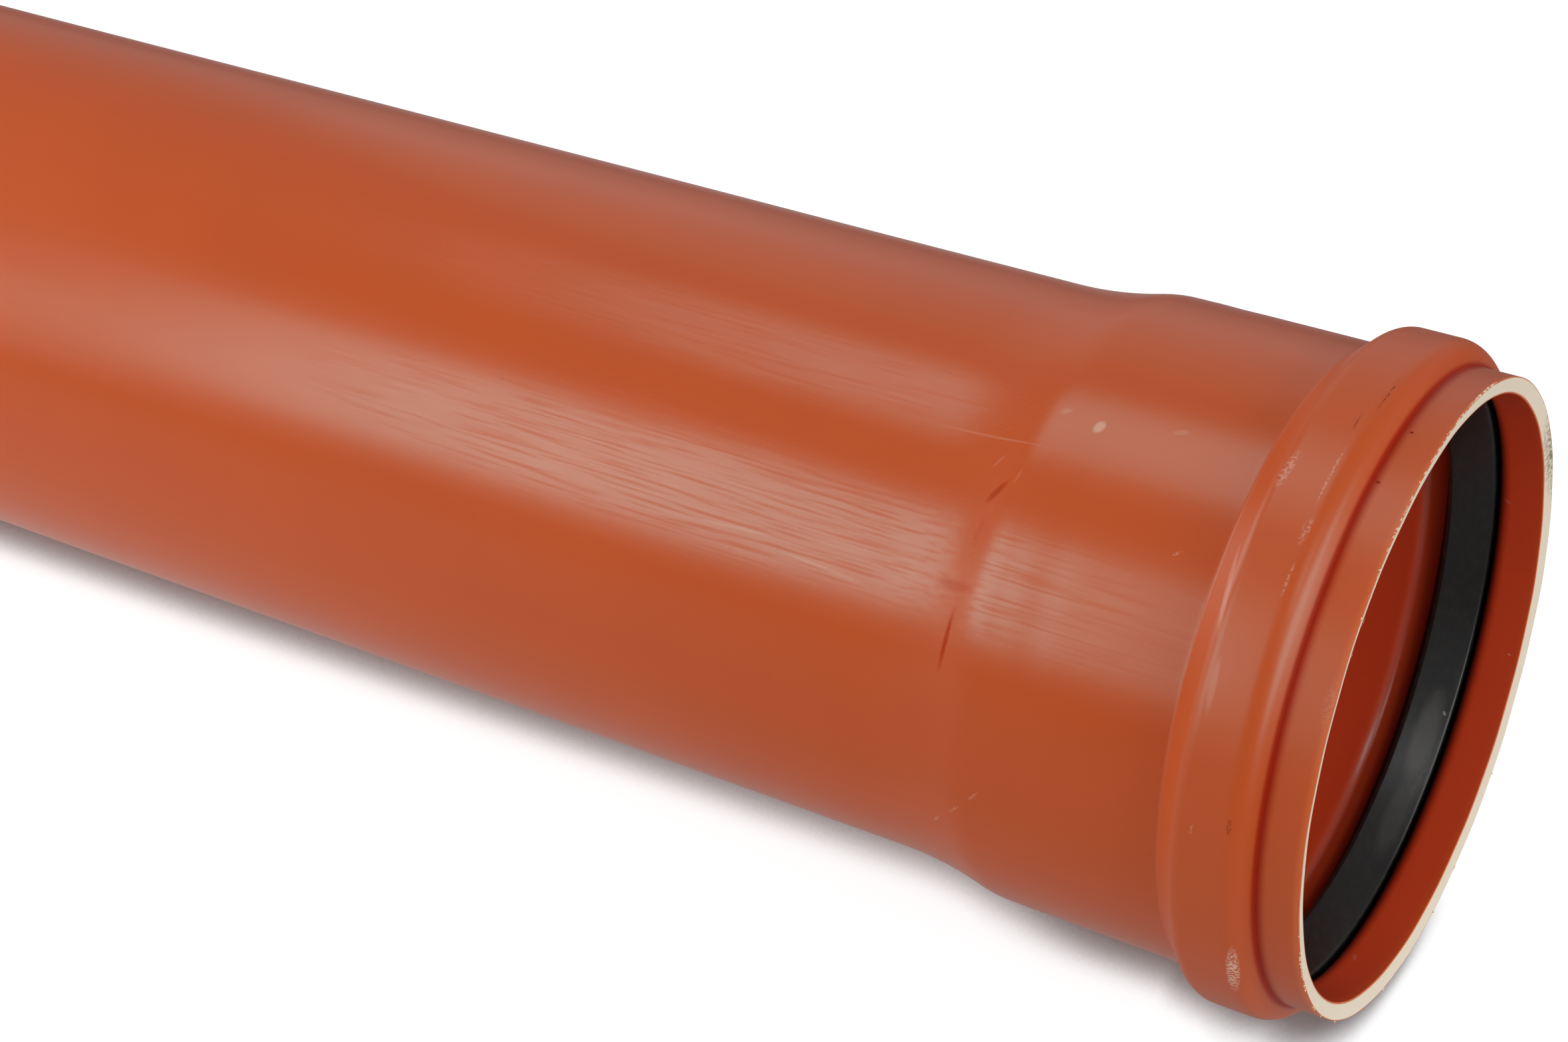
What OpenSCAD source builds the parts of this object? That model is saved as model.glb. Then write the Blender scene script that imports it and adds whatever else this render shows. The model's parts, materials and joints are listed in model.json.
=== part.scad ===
// Drain pipe of orange-brown PVC with a belled socket and a rubber lip seal.
// Lengths along the pipe, called s, are measured from the rim of the mouth into the pipe.
// The pipe lies on the floor on its bead and on the end of its barrel, with the mouth toward +X.

/* [Barrel] */
// Outside diameter of the barrel
pipe_od = 160; // [110:1:200]
// Wall of the barrel
pipe_wall = 4.7; // [3.2:0.1:6]
// Laid length, from the spigot's end to the root of the socket
laid_length = 1000; // [500:10:3000]

/* [Spigot] */
// Depth of the bevel on the spigot's end
bevel_depth = 2.4; // [1:0.1:2.5]
// Angle between the bevel and the pipe's axis
bevel_angle = 15; // [12:1:30]

/* [Socket] */
// Depth of the socket, from the rim to its root
socket_depth = 93; // [80:1:140]
// Radial room around a spigot in the socket
socket_play = 0.4; // [0.2:0.1:0.8]
// Wall of the socket
socket_wall = 4; // [3:0.1:6]
// Length of the cone between the socket and the barrel
shoulder_length = 18; // [14:1:30]
// Rounding at both ends of that cone
shoulder_rounding = 20; // [6:1:30]

/* [Mouth] */
// Radial room around a spigot in the mouth collar
mouth_play = 0.6; // [0.4:0.1:1]
// Wall of the mouth collar
mouth_wall = 4.6; // [3.6:0.1:6]
// Length of the mouth collar, from the rim to the bead
collar_length = 11; // [8:0.5:16]
// How much deeper in the mouth the rim's inner edge lies than its outer edge
rim_slope = 1; // [0.4:0.1:2]

/* [Seal bead] */
// Depth of the seal's groove below the socket's bore
groove_depth = 6.5; // [5.5:0.1:8]
// Wall of the bead around the groove
bead_wall = 4.2; // [3.4:0.1:5]
// Length of the bead's flank on the mouth's side
front_flank = 3.6; // [3:0.2:6]
// Length of the bead's crown
crown_length = 15.8; // [14:0.2:21]
// Length of the bead's flank on the socket's side
rear_flank = 6.6; // [5:0.2:10]
// Rounding of the crown's edge on the mouth's side
front_rounding = 6; // [3:0.5:7]
// Rounding of the crown's edge on the socket's side
crown_rounding = 4.5; // [2:0.5:6]
// Rounding in the crease between the bead and the collar
crease_rounding = 0.4; // [0.3:0.1:1.5]
// Rounding where the rear flank runs out into the socket
root_rounding = 1.5; // [0.5:0.5:4]

/* [Sealing ring] */
// How far the free lip reaches inside a spigot's surface
lip_bite = 3; // [1:0.5:4]
// Length of the lip's cone, from the ring's nose to the lip's edge
lip_length = 10.8; // [9:0.2:12]
// Length of the lip's round edge
lip_edge = 1.4; // [0.8:0.2:2]
// Height of the nose's edge above the mouth collar's bore
nose_height = 0.6; // [0.4:0.1:1]
// Distance from the groove's front corner to the nose
nose_setback = 2; // [1.6:0.1:2.4]
// Thickness of the heel on the groove's floor
heel_thickness = 3.4; // [2.5:0.1:3.8]
// Distance from the nose to the notch between lip and heel
notch_setback = 6; // [5:0.5:7]
// Room between the heel and the groove's rear flank
heel_play = 0.3; // [0.2:0.1:0.6]
// Rounding of the nose and of the heel's end
nose_rounding = 1.2; // [0.4:0.1:1.4]
// Rounding in the notch
notch_rounding = 0.6; // [0.2:0.1:1]
// How much rounder the corners on the groove's floor are than the groove's own
corner_relief = 0.7; // [0.3:0.1:1]

/* [Hidden] */
$fn = 120;
// An arc in a profile has a corner at least every so many degrees
ARC_STEP = 8;

// radii
barrel_r = pipe_od / 2;
flow_r = barrel_r - pipe_wall;
socket_r = barrel_r + socket_play;
mouth_r = barrel_r + mouth_play;
groove_r = socket_r + groove_depth;
bead_r = groove_r + bead_wall;
collar_r = mouth_r + mouth_wall;
bell_r = socket_r + socket_wall;
lip_r = barrel_r - lip_bite;

// stations along the pipe, outside
crown_start = collar_length + front_flank;
crown_end = crown_start + crown_length;
bell_start = crown_end + rear_flank;
shoulder_end = socket_depth + shoulder_length;
pipe_length = laid_length + socket_depth;
bevel_start = pipe_length - bevel_depth / tan(bevel_angle);

// stations along the pipe, inside: the bead's wall is as thick on its flanks as on its crown
front_angle = atan2(bead_r - collar_r, front_flank);
rear_angle = atan2(bead_r - bell_r, rear_flank);
groove_start = crown_start + bead_wall * tan(front_angle / 2);
groove_end = crown_end - bead_wall * tan(rear_angle / 2);
land_end = groove_start - (groove_r - mouth_r) / tan(front_angle);
bore_start = groove_end + (groove_r - socket_r) / tan(rear_angle);
front_groove_rounding = max(0.3, front_rounding - bead_wall);
groove_rounding = max(0.3, crown_rounding - bead_wall);

// the sealing ring in the groove
nose_s = land_end + nose_setback;
nose_r = mouth_r + nose_height;
lip_s = nose_s + lip_length;
heel_r = groove_r - heel_thickness;
heel_gap = heel_play / sin(rear_angle);
heel_end = groove_end - heel_gap + heel_thickness / tan(rear_angle);
front_ring_rounding = front_groove_rounding + corner_relief;
ring_rounding = groove_rounding + corner_relief;

// how the pipe lies: the bead's rear edge and the barrel's end touch the floor
rest_s = crown_end - crown_rounding * tan(rear_angle / 2);
lie_angle = atan2(bead_r - barrel_r, bevel_start - rest_s);
lie_height = bead_r * cos(lie_angle) - (pipe_length / 2 - rest_s) * sin(lie_angle);

// A profile's corner is [radius, s, rounding]. This gives the points of its arc, or the sharp corner.
function arc_corner(before, corner, after) =
    let (
        c = [corner[0], corner[1]],
        u = unit([before[0], before[1]] - c),
        v = unit([after[0], after[1]] - c),
        half = acos(u * v) / 2,
        centre = c + unit(u + v) * corner[2] / sin(half),
        foot = c + u * corner[2] / tan(half),
        turn = 180 - 2 * half,
        side = sign(u[1] * v[0] - u[0] * v[1]),
        steps = max(2, ceil(turn / ARC_STEP))
    )
    corner[2] == 0 ? [c] : [for (i = [0:steps]) centre + turned(foot - centre, side * turn * i / steps)];

function unit(v) = v / norm(v);

function turned(v, a) = [v[0] * cos(a) - v[1] * sin(a), v[0] * sin(a) + v[1] * cos(a)];

// The points of a closed profile from its corners.
function rounded(corners) =
    let (n = len(corners))
    [for (i = [0:n - 1]) each arc_corner(corners[(i + n - 1) % n], corners[i], corners[(i + 1) % n])];

// Turns a profile around the pipe's axis.
module turn_profile(corners) {
    rotate_extrude() polygon(rounded(corners));
}

// Lays the upright pipe down on the floor, with its mouth toward +X and its middle over the origin.
module lay() {
    translate([0, 0, lie_height])
        rotate([0, -90 - lie_angle, 0])
            translate([0, 0, -pipe_length / 2])
                children();
}

module pipe() {
    bore = [
        [mouth_r, rim_slope, 0],
        [mouth_r, land_end, crease_rounding + bead_wall],
        [groove_r, groove_start, front_groove_rounding],
        [groove_r, groove_end, groove_rounding],
        [socket_r, bore_start, root_rounding + bead_wall],
        [socket_r, socket_depth, shoulder_rounding],
        [flow_r, shoulder_end, shoulder_rounding],
        [flow_r, pipe_length, 0],
    ];
    outside = [
        [barrel_r - bevel_depth, pipe_length, 0],
        [barrel_r, bevel_start, 0],
        [barrel_r, shoulder_end, shoulder_rounding],
        [bell_r, socket_depth, shoulder_rounding],
        [bell_r, bell_start, root_rounding],
        [bead_r, crown_end, crown_rounding],
        [bead_r, crown_start, front_rounding],
        [collar_r, collar_length, crease_rounding],
        [collar_r, 0, 0],
    ];
    color("#bd5a30") lay() turn_profile(concat(bore, outside));
}

module sealing_ring() {
    section = [
        [nose_r, nose_s, nose_rounding],
        [mouth_r + nose_setback * tan(front_angle), nose_s, 0],
        [groove_r, groove_start, front_ring_rounding],
        [groove_r, groove_end - heel_gap, ring_rounding],
        [heel_r, heel_end, nose_rounding],
        [heel_r, nose_s + notch_setback, notch_rounding],
        [lip_r, lip_s + lip_edge, 0],
        [lip_r, lip_s, 0],
    ];
    color("#232423") lay() turn_profile(section);
}

pipe();
sealing_ring();
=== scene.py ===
"""Dresses a lying PVC drain pipe: its turned wall, its cut ends, its sealing ring and their wear.

Sizes in the classes are millimetres, as on a pipe maker's drawing, and the meshes are in metres.
A station is a length along the pipe from the rim of its mouth. A turn is an angle around the pipe
from straight up, in degrees, positive toward -Y.
"""

import json
import logging
import math
from dataclasses import dataclass
from enum import Enum
from typing import Any, Callable, Optional

import bpy
import numpy as np
from mathutils import Euler, Matrix, Vector


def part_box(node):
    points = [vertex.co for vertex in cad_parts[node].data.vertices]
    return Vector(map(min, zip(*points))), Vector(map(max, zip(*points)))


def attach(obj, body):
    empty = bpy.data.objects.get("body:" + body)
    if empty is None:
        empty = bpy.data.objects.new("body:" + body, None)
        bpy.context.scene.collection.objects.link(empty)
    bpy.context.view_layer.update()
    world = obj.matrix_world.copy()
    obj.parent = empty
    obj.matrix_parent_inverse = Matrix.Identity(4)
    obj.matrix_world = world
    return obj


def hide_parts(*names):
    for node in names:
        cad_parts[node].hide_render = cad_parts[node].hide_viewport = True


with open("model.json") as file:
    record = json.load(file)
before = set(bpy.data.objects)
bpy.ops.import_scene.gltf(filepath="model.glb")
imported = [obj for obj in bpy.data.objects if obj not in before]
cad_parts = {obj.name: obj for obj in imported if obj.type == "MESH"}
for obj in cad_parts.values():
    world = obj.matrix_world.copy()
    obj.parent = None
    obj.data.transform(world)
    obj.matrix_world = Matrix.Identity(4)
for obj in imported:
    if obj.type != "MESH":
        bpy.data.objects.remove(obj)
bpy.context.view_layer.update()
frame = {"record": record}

LOG = logging.getLogger("drain_pipe")
BODY = "root"
MM = 0.001
# facets that meet at more degrees than this keep a sharp edge
SHARP_ANGLE = 35

Grid = np.ndarray
Warp = Callable[[Grid, Grid, Grid], tuple[Grid, Grid]]
RadiusAt = Callable[[float], float]
Value = bpy.types.Node | bpy.types.NodeSocket


def linear(colour: str) -> tuple[float, float, float, float]:
    """Turns an sRGB hex colour into linear RGBA.

    Args:
        colour: A hash sign and six hex digits.

    Returns:
        The colour's linear red, green and blue, and an alpha of 1.
    """
    channels = [int(colour[i : i + 2], 16) / 255 for i in (1, 3, 5)]
    red, green, blue = (c / 12.92 if c <= 0.04045 else ((c + 0.055) / 1.055) ** 2.4 for c in channels)
    return red, green, blue, 1.0


def add_node(
    tree: bpy.types.NodeTree,
    kind: str,
    inputs: Optional[dict[str | int, Any]] = None,
    **settings: Any,
) -> bpy.types.Node:
    """Adds a node with its settings and links.

    Args:
        tree: The tree that the node goes into.
        kind: The node's type, without the words ShaderNode.
        inputs: A value, socket or node for each input, by its name or number. A node gives its
            first output that is in use.
        settings: The node's own properties.

    Returns:
        The new node.
    """
    node = tree.nodes.new("ShaderNode" + kind)
    for name, value in settings.items():
        setattr(node, name, value)
    for key, value in (inputs or {}).items():
        if isinstance(value, bpy.types.Node):
            value = next(output for output in value.outputs if output.enabled)
        if isinstance(value, bpy.types.NodeSocket):
            tree.links.new(value, node.inputs[key])
        else:
            node.inputs[key].default_value = value
    return node


def put_in_scene(name: str, data: bpy.types.ID) -> bpy.types.Object:
    """Makes an object and links it to the scene.

    Args:
        name: The object's name.
        data: Its mesh, light or camera.

    Returns:
        The new object.
    """
    thing = bpy.data.objects.new(name, data)
    bpy.context.scene.collection.objects.link(thing)
    return thing


class Surface(Enum):
    """What a stretch of a turned outline is, which says what finish it gets."""

    BEAD = "bead"
    SOCKET = "socket"
    BARREL = "barrel"
    BORE = "bore"
    RIM_CUT = "rim_cut"
    SPIGOT_CUT = "spigot_cut"
    RUBBER = "rubber"


class Tone(Enum):
    """Whether a mark is paler or darker than what is around it."""

    PALE = "pale"
    DARK = "dark"


@dataclass(frozen=True)
class PipeAxis:
    """The pipe's axis as it lies, in metres.

    Attributes:
        rim: The middle of the mouth's rim.
        along: The way into the pipe from there.
        up: The way straight up from the axis, square to it.
    """

    rim: Vector
    along: Vector
    up: Vector

    @property
    def side(self) -> Vector:
        """The way out of the pipe at a turn of 90 degrees."""
        return self.up.cross(self.along)

    @property
    def rotation(self) -> Euler:
        """The rotation that lays X along the pipe, Y to its side and Z up."""
        return Matrix((self.along, self.side, self.up)).transposed().to_euler()

    def outward(self, turn: float) -> Vector:
        """Gives the way out of the pipe at a turn in degrees."""
        angle = math.radians(turn)
        return self.up * math.cos(angle) + self.side * math.sin(angle)

    def point(self, station: float, radius: float, turn: float) -> Vector:
        """Places a point of the pipe.

        Args:
            station: Its length along the pipe, in millimetres.
            radius: Its distance from the axis, in millimetres.
            turn: Its angle around the pipe, in degrees.

        Returns:
            The point, in metres.
        """
        return self.rim + self.along * (station * MM) + self.outward(turn) * (radius * MM)

    def patch_rotation(self, turn: float, slant: float) -> Euler:
        """Turns a patch of the pipe's surface so that it lies flat in X and Y.

        Args:
            turn: Where the patch is around the pipe, in degrees.
            slant: The angle between the patch's length and the pipe's axis, in degrees.

        Returns:
            The rotation whose X runs along the patch, and whose Z points out of the pipe.
        """
        out = self.outward(turn)
        around = out.cross(self.along)
        lean = math.radians(slant)
        length = self.along * math.cos(lean) + around * math.sin(lean)
        return Matrix((length, out.cross(length), out)).transposed().to_euler()


@dataclass(frozen=True)
class Corner:
    """A corner of a turned outline.

    Attributes:
        station: Its length along the pipe.
        radius: Its distance from the axis.
        rounding: The radius that rounds it.
        surface: What the stretch from here to the next corner is.
        longest: The longest step between two points of that stretch.
    """

    station: float
    radius: float
    rounding: float
    surface: Surface
    longest: float = 14.0


@dataclass(frozen=True)
class Outline:
    """A closed outline that is turned around the pipe's axis.

    Attributes:
        points: Station and radius of each point, in millimetres.
        surfaces: What the stretch from each point to the next is.
    """

    points: np.ndarray
    surfaces: tuple[Surface, ...]

    @classmethod
    def rounded(cls, corners: list[Corner], arc_step: float) -> "Outline":
        """Rounds a list of corners and divides what lies between them.

        Args:
            corners: The outline's corners, in order.
            arc_step: The most degrees between two points of an arc.

        Returns:
            The outline.
        """
        arcs = [
            cls._arc(corners[i - 1], corner, corners[(i + 1) % len(corners)], arc_step)
            for i, corner in enumerate(corners)
        ]
        points: list[np.ndarray] = []
        surfaces: list[Surface] = []
        for i, corner in enumerate(corners):
            stretch = arcs[i] + cls._run(arcs[i][-1], arcs[(i + 1) % len(corners)][0], corner.longest)
            points += stretch
            surfaces += [corner.surface] * len(stretch)
        return cls(np.array(points), tuple(surfaces))

    @staticmethod
    def _arc(before: Corner, corner: Corner, after: Corner, arc_step: float) -> list[np.ndarray]:
        """Gives the points that round one corner.

        Args:
            before: The corner before it.
            corner: The corner itself.
            after: The corner after it.
            arc_step: The most degrees between two points.

        Returns:
            The arc's points, or the corner alone where it is sharp.
        """
        here = np.array((corner.station, corner.radius))
        if corner.rounding == 0:
            return [here]
        back = np.array((before.station, before.radius)) - here
        ahead = np.array((after.station, after.radius)) - here
        back /= np.linalg.norm(back)
        ahead /= np.linalg.norm(ahead)
        half = math.acos(float(back @ ahead)) / 2
        middle = (back + ahead) / np.linalg.norm(back + ahead)
        centre = here + middle * corner.rounding / math.sin(half)
        foot = here + back * corner.rounding / math.tan(half) - centre
        sweep = math.copysign(math.pi - 2 * half, back[1] * ahead[0] - back[0] * ahead[1])
        shortest = abs(sweep) * corner.rounding / corner.longest
        steps = max(3, math.ceil(abs(math.degrees(sweep)) / arc_step), math.ceil(shortest))
        points = []
        for k in range(steps + 1):
            cos, sin = math.cos(sweep * k / steps), math.sin(sweep * k / steps)
            points.append(centre + np.array((foot[0] * cos - foot[1] * sin, foot[0] * sin + foot[1] * cos)))
        return points

    @staticmethod
    def _run(start: np.ndarray, end: np.ndarray, longest: float) -> list[np.ndarray]:
        """Divides a straight run, with a point close to each end so that it shades flat.

        Args:
            start: Its first point, which isn't repeated.
            end: Its last point, which isn't repeated either.
            longest: The longest stretch between two points.

        Returns:
            The points between the two ends.
        """
        length = float(np.linalg.norm(end - start))
        close = 0.6
        if length < 3 * close:
            return []
        steps = max(1, math.ceil((length - 2 * close) / longest))
        marks = np.linspace(close, length - close, steps + 1)
        return [start + (end - start) * mark / length for mark in marks]


def turned_piece(
    name: str,
    outline: Outline,
    axis: PipeAxis,
    segments: int,
    finishes: dict[Surface, bpy.types.Material],
    warp: Optional[Warp] = None,
) -> bpy.types.Object:
    """Turns an outline around the pipe's axis.

    Args:
        name: The piece's name.
        outline: Its closed outline.
        axis: The axis.
        segments: How many facets go around.
        finishes: The material of each kind of surface on it.
        warp: Moves stations and radii, given with the angles, for what isn't perfectly round.

    Returns:
        The finished piece.
    """
    count = len(outline.points)
    angle = np.repeat(np.linspace(-math.pi, math.pi, segments, endpoint=False)[None, :], count, axis=0)
    station = np.repeat(outline.points[:, :1], segments, axis=1)
    radius = np.repeat(outline.points[:, 1:], segments, axis=1)
    if warp:
        station, radius = warp(station, radius, angle)
    out = np.cos(angle)[..., None] * np.array(axis.up) + np.sin(angle)[..., None] * np.array(axis.side)
    along = station[..., None] * MM * np.array(axis.along)
    place = np.array(axis.rim) + along + radius[..., None] * MM * out

    row, column = np.meshgrid(np.arange(count), np.arange(segments), indexing="ij")
    below, right = (row + 1) % count, (column + 1) % segments
    corners = ((row, column), (row, right), (below, right), (below, column))
    quads = np.stack([r * segments + c for r, c in corners], -1).reshape(-1, 4)

    mesh = bpy.data.meshes.new(name)
    mesh.from_pydata(place.reshape(-1, 3).tolist(), [], quads.tolist())
    kinds = list(finishes)
    for kind in kinds:
        mesh.materials.append(finishes[kind])
    indices = [kinds.index(surface) for surface in outline.surfaces]
    mesh.polygons.foreach_set("material_index", np.repeat(indices, segments))
    steps = np.linalg.norm(np.roll(outline.points, -1, axis=0) - outline.points, axis=1)
    length = np.concatenate(([0.0], np.cumsum(steps))) / steps.sum()
    u = np.stack((length[row], length[row], length[row + 1], length[row + 1]), -1)
    v = np.stack((column, column + 1, column + 1, column), -1) / segments
    unwrapped = mesh.uv_layers.new(name="unwrapped")
    unwrapped.data.foreach_set("uv", np.stack((u, v), -1).ravel())
    mesh.shade_smooth()
    mesh.set_sharp_from_angle(angle=math.radians(SHARP_ANGLE))
    mesh.validate()
    return put_in_scene(name, mesh)


@dataclass(frozen=True)
class Mark:
    """A scuff, scratch or stain.

    Attributes:
        station: The middle of the mark along the pipe.
        turn: The middle of the mark around the pipe, in degrees.
        length: Its length.
        width: Its width.
        slant: The angle between its length and the pipe's axis, in degrees.
        strength: How much of its colour it shows at its middle.
        broken: Whether the fine pattern of the surface breaks it up.
    """

    station: float
    turn: float
    length: float
    width: float
    slant: float = 0.0
    strength: float = 0.5
    broken: bool = True

    @property
    def size(self) -> tuple[float, float, float]:
        """Half its length, half its width and its reach through the surface."""
        return self.length / 2, self.width / 2, max(4.0, self.width / 3)


WEAR: dict[Surface, dict[Tone, tuple[Mark, ...]]] = {
    Surface.BEAD: {
        Tone.PALE: (
            Mark(29, 27, 13, 3.2, slant=86, strength=0.3),
            Mark(31.5, 47, 28, 2.0, slant=98, strength=0.2, broken=False),
            Mark(18.6, 26, 20, 0.9, slant=89, strength=0.28),
            Mark(18.4, 36, 9, 2.4, slant=88, strength=0.28),
            Mark(18, 44, 10, 0.9, slant=88, strength=0.28),
            Mark(27.5, 62, 16, 2.2, slant=92, strength=0.14, broken=False),
            Mark(26, 85, 4, 1.2, slant=80, strength=0.3),
            Mark(15.6, 113.5, 24, 3.6, slant=86, strength=0.7),
            # painted highlight on the collar beside the rim, over a few fine scratches
            Mark(1.2, 60, 14, 3.4, slant=90, strength=0.08),
        ),
        Tone.DARK: (
            Mark(16.6, 7, 18, 0.7, slant=90, strength=0.6),
            Mark(19.3, 15.2, 8, 0.7, slant=90, strength=0.5),
            Mark(18.8, 35, 8, 1.0, slant=88, strength=0.3),
            Mark(16.7, 82.5, 5, 1.4, slant=90, strength=0.5),
            Mark(8.6, 10.2, 1.3, 1.0, strength=1.0, broken=False),
            Mark(9.6, 22.5, 1.7, 1.1, strength=1.0, broken=False),
        ),
    },
    Surface.SOCKET: {
        Tone.PALE: (
            Mark(104, 32.7, 46, 0.7, strength=0.14, broken=False),
            Mark(80, 26.3, 4.6, 3.2, slant=70, strength=0.4, broken=False),
            Mark(90, 25, 4.0, 2.0, slant=30, strength=0.12, broken=False),
            Mark(60, 23, 5.0, 2.0, slant=20, strength=0.1, broken=False),
            Mark(88, 97, 6, 0.8, slant=55, strength=0.2),
            Mark(94, 102, 7, 0.9, slant=50, strength=0.2),
            Mark(101, 108, 5, 0.9, slant=60, strength=0.2),
            Mark(48, 44, 3, 1.0, slant=40, strength=0.3),
            Mark(101, 37, 6, 1.0, slant=60, strength=0.08, broken=False),
            Mark(94, 39, 5, 1.0, slant=80, strength=0.08, broken=False),
        ),
        Tone.DARK: (
            Mark(100, 69.5, 25, 1.9, slant=86, strength=0.9, broken=False),
            Mark(98, 42.5, 9, 2.2, slant=60, strength=0.7, broken=False),
            # painted shade of a dent at the start of the shoulder
            Mark(101.4, 60, 13, 3.2, slant=5, strength=0.35, broken=False),
            Mark(99, 50, 10, 0.9, slant=80, strength=0.4, broken=False),
        ),
    },
    Surface.BARREL: {
        Tone.PALE: (
            Mark(138, 64.3, 30, 1.3, slant=-4, strength=0.15, broken=False),
            Mark(165, 62, 26, 1.0, slant=4, strength=0.14, broken=False),
            Mark(186, 58, 18, 0.9, slant=2, strength=0.16, broken=False),
            Mark(214, 54.5, 22, 0.9, strength=0.14, broken=False),
            Mark(104, 32.7, 46, 0.7, strength=0.14, broken=False),
        ),
        Tone.DARK: (
            Mark(150, 88, 16, 1.2, slant=80, strength=0.15),
        ),
    },
    Surface.BORE: {
        Tone.PALE: (
            Mark(11.6, -79.3, 3.5, 1.6, slant=20, strength=0.2),
            Mark(4.0, -112, 1.4, 0.7, slant=20, strength=0.35, broken=False),
            Mark(9.5, 172, 4.0, 1.5, slant=70, strength=0.2),
        ),
    },
    Surface.RUBBER: {
        Tone.PALE: (
            # a pale dusty film on the lip's face, which is also painted sheen where the face mirrors the
            # lamps; the small fleck at -127 is real
            Mark(18.6, -137, 46, 5.0, slant=90, strength=0.07),
            Mark(20.0, -133, 34, 8.0, slant=90, strength=0.1, broken=False),
            Mark(17.0, -127, 1.6, 0.9, slant=60, strength=0.5, broken=False),
            Mark(19.5, -150, 34, 7.0, slant=90, strength=0.05, broken=False),
        ),
    },
}

# where sliding in a stack scratched the barrel and socket most
RUBBED = (
    Mark(170, 57, 330, 46, broken=False, strength=1.0),
    Mark(190, 27, 260, 30, broken=False, strength=0.5),
)


class Paint:
    """A material in the making.

    Attributes:
        material: The material.
        tree: Its node tree.
        place: The object's coordinates.
    """

    def __init__(self, name: str) -> None:
        """Starts an empty material.

        Args:
            name: Its name.
        """
        self.material = bpy.data.materials.new(name)
        self.material.use_nodes = True
        self.tree = self.material.node_tree
        self.tree.nodes.clear()
        self.place = self.node("TexCoord").outputs["Object"]

    def node(
        self, kind: str, inputs: Optional[dict[str | int, Any]] = None, **settings: Any
    ) -> bpy.types.Node:
        """Adds a node to the material, from what add_node takes."""
        return add_node(self.tree, kind, inputs, **settings)

    def ramp(
        self,
        value: Value,
        span: tuple[float, float],
        result: tuple[Value | float, Value | float] = (0.0, 1.0),
        smooth: bool = False,
    ) -> bpy.types.Node:
        """Runs from one result to another while a value crosses a span.

        Args:
            value: The value.
            span: Where the ramp starts and ends.
            result: What it gives there and beyond.
            smooth: Whether it starts and ends softly.

        Returns:
            The ramp's node.
        """
        ends = {"From Min": span[0], "From Max": span[1], "To Min": result[0], "To Max": result[1]}
        kind = "SMOOTHSTEP" if smooth else "LINEAR"
        return self.node("MapRange", {"Value": value, **ends}, interpolation_type=kind)

    def blend(self, share: Value, under: Value | str, over: str) -> bpy.types.Node:
        """Lays a colour over another one.

        Args:
            share: How much of it shows.
            under: The colour below, as a node or in hex.
            over: The colour on top, in hex.

        Returns:
            The blended colour's node.
        """
        below = linear(under) if isinstance(under, str) else under
        return self.node("Mix", {0: share, 6: below, 7: linear(over)}, data_type="RGBA")

    def product(self, first: Value, second: Value) -> bpy.types.Node:
        """Multiplies two values."""
        return self.node("Math", {0: first, 1: second}, operation="MULTIPLY")

    def finished(self, shader: bpy.types.Node) -> bpy.types.Material:
        """Gives the material its shader, and returns it."""
        self.node("OutputMaterial", {"Surface": shader})
        return self.material


class PipePaint(Paint):
    """A material whose patterns and marks follow the pipe.

    Attributes:
        axis: The pipe's axis.
        local: The pipe's own coordinates, in metres: X is the station, Y the side and Z up.
    """

    def __init__(self, name: str, axis: PipeAxis) -> None:
        """Starts an empty material.

        Args:
            name: Its name.
            axis: The pipe's axis.
        """
        super().__init__(name)
        self.axis = axis
        self.local = self.node(
            "Mapping",
            {"Vector": self.place, "Location": axis.rim, "Rotation": axis.rotation},
            vector_type="TEXTURE",
        )

    def noise(self, along: float, across: float, detail: float) -> bpy.types.NodeSocket:
        """Adds a noise pattern.

        Args:
            along: The size of its features along the pipe, in millimetres.
            across: Their size across the pipe, in millimetres.
            detail: How many finer layers it has.

        Returns:
            The pattern, from 0 to 1.
        """
        scale = (1 / (along * MM), 1 / (across * MM), 1 / (across * MM))
        scaled = self.node("VectorMath", {0: self.local, 1: scale}, operation="MULTIPLY")
        return self.node("TexNoise", {"Vector": scaled, "Scale": 1.0, "Detail": detail}).outputs["Fac"]

    def blot(
        self, middle: Vector, turn: float, slant: float, size: tuple[float, float, float]
    ) -> bpy.types.NodeSocket:
        """Adds a blot that fades toward its edge.

        Args:
            middle: Its middle, in metres.
            turn: Where that is around the pipe, in degrees.
            slant: The angle between its length and the pipe's axis, in degrees.
            size: Half its length, half its width and its reach through the surface, in millimetres.

        Returns:
            1 in the middle, and 0 at the edge and beyond.
        """
        patch = self.node(
            "Mapping",
            {
                "Vector": self.place,
                "Location": middle,
                "Rotation": self.axis.patch_rotation(turn, slant),
                "Scale": Vector(size) * MM,
            },
            vector_type="TEXTURE",
        )
        return self.node("TexGradient", {"Vector": patch}, gradient_type="SPHERICAL").outputs["Fac"]

    def marks(
        self, marks: tuple[Mark, ...], radius_at: RadiusAt, pattern: Value
    ) -> Optional[bpy.types.Node]:
        """Lays marks on a surface of the pipe.

        Args:
            marks: The marks.
            radius_at: Gives the surface's radius at a station.
            pattern: The fine pattern that breaks marks up.

        Returns:
            How much of the marks' colour shows, or nothing if there are none.
        """
        total: Optional[bpy.types.Node] = None
        for mark in marks:
            middle = self.axis.point(mark.station, radius_at(mark.station), mark.turn)
            blot = self.blot(middle, mark.turn, mark.slant, mark.size)
            shown = self.ramp(blot, (0.0, 0.45), (0.0, mark.strength))
            if mark.broken:
                shown = self.product(shown, pattern)
            if total is not None:
                shown = self.node("Math", {0: total, 1: shown}, operation="MAXIMUM")
            total = shown
        return total


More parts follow.
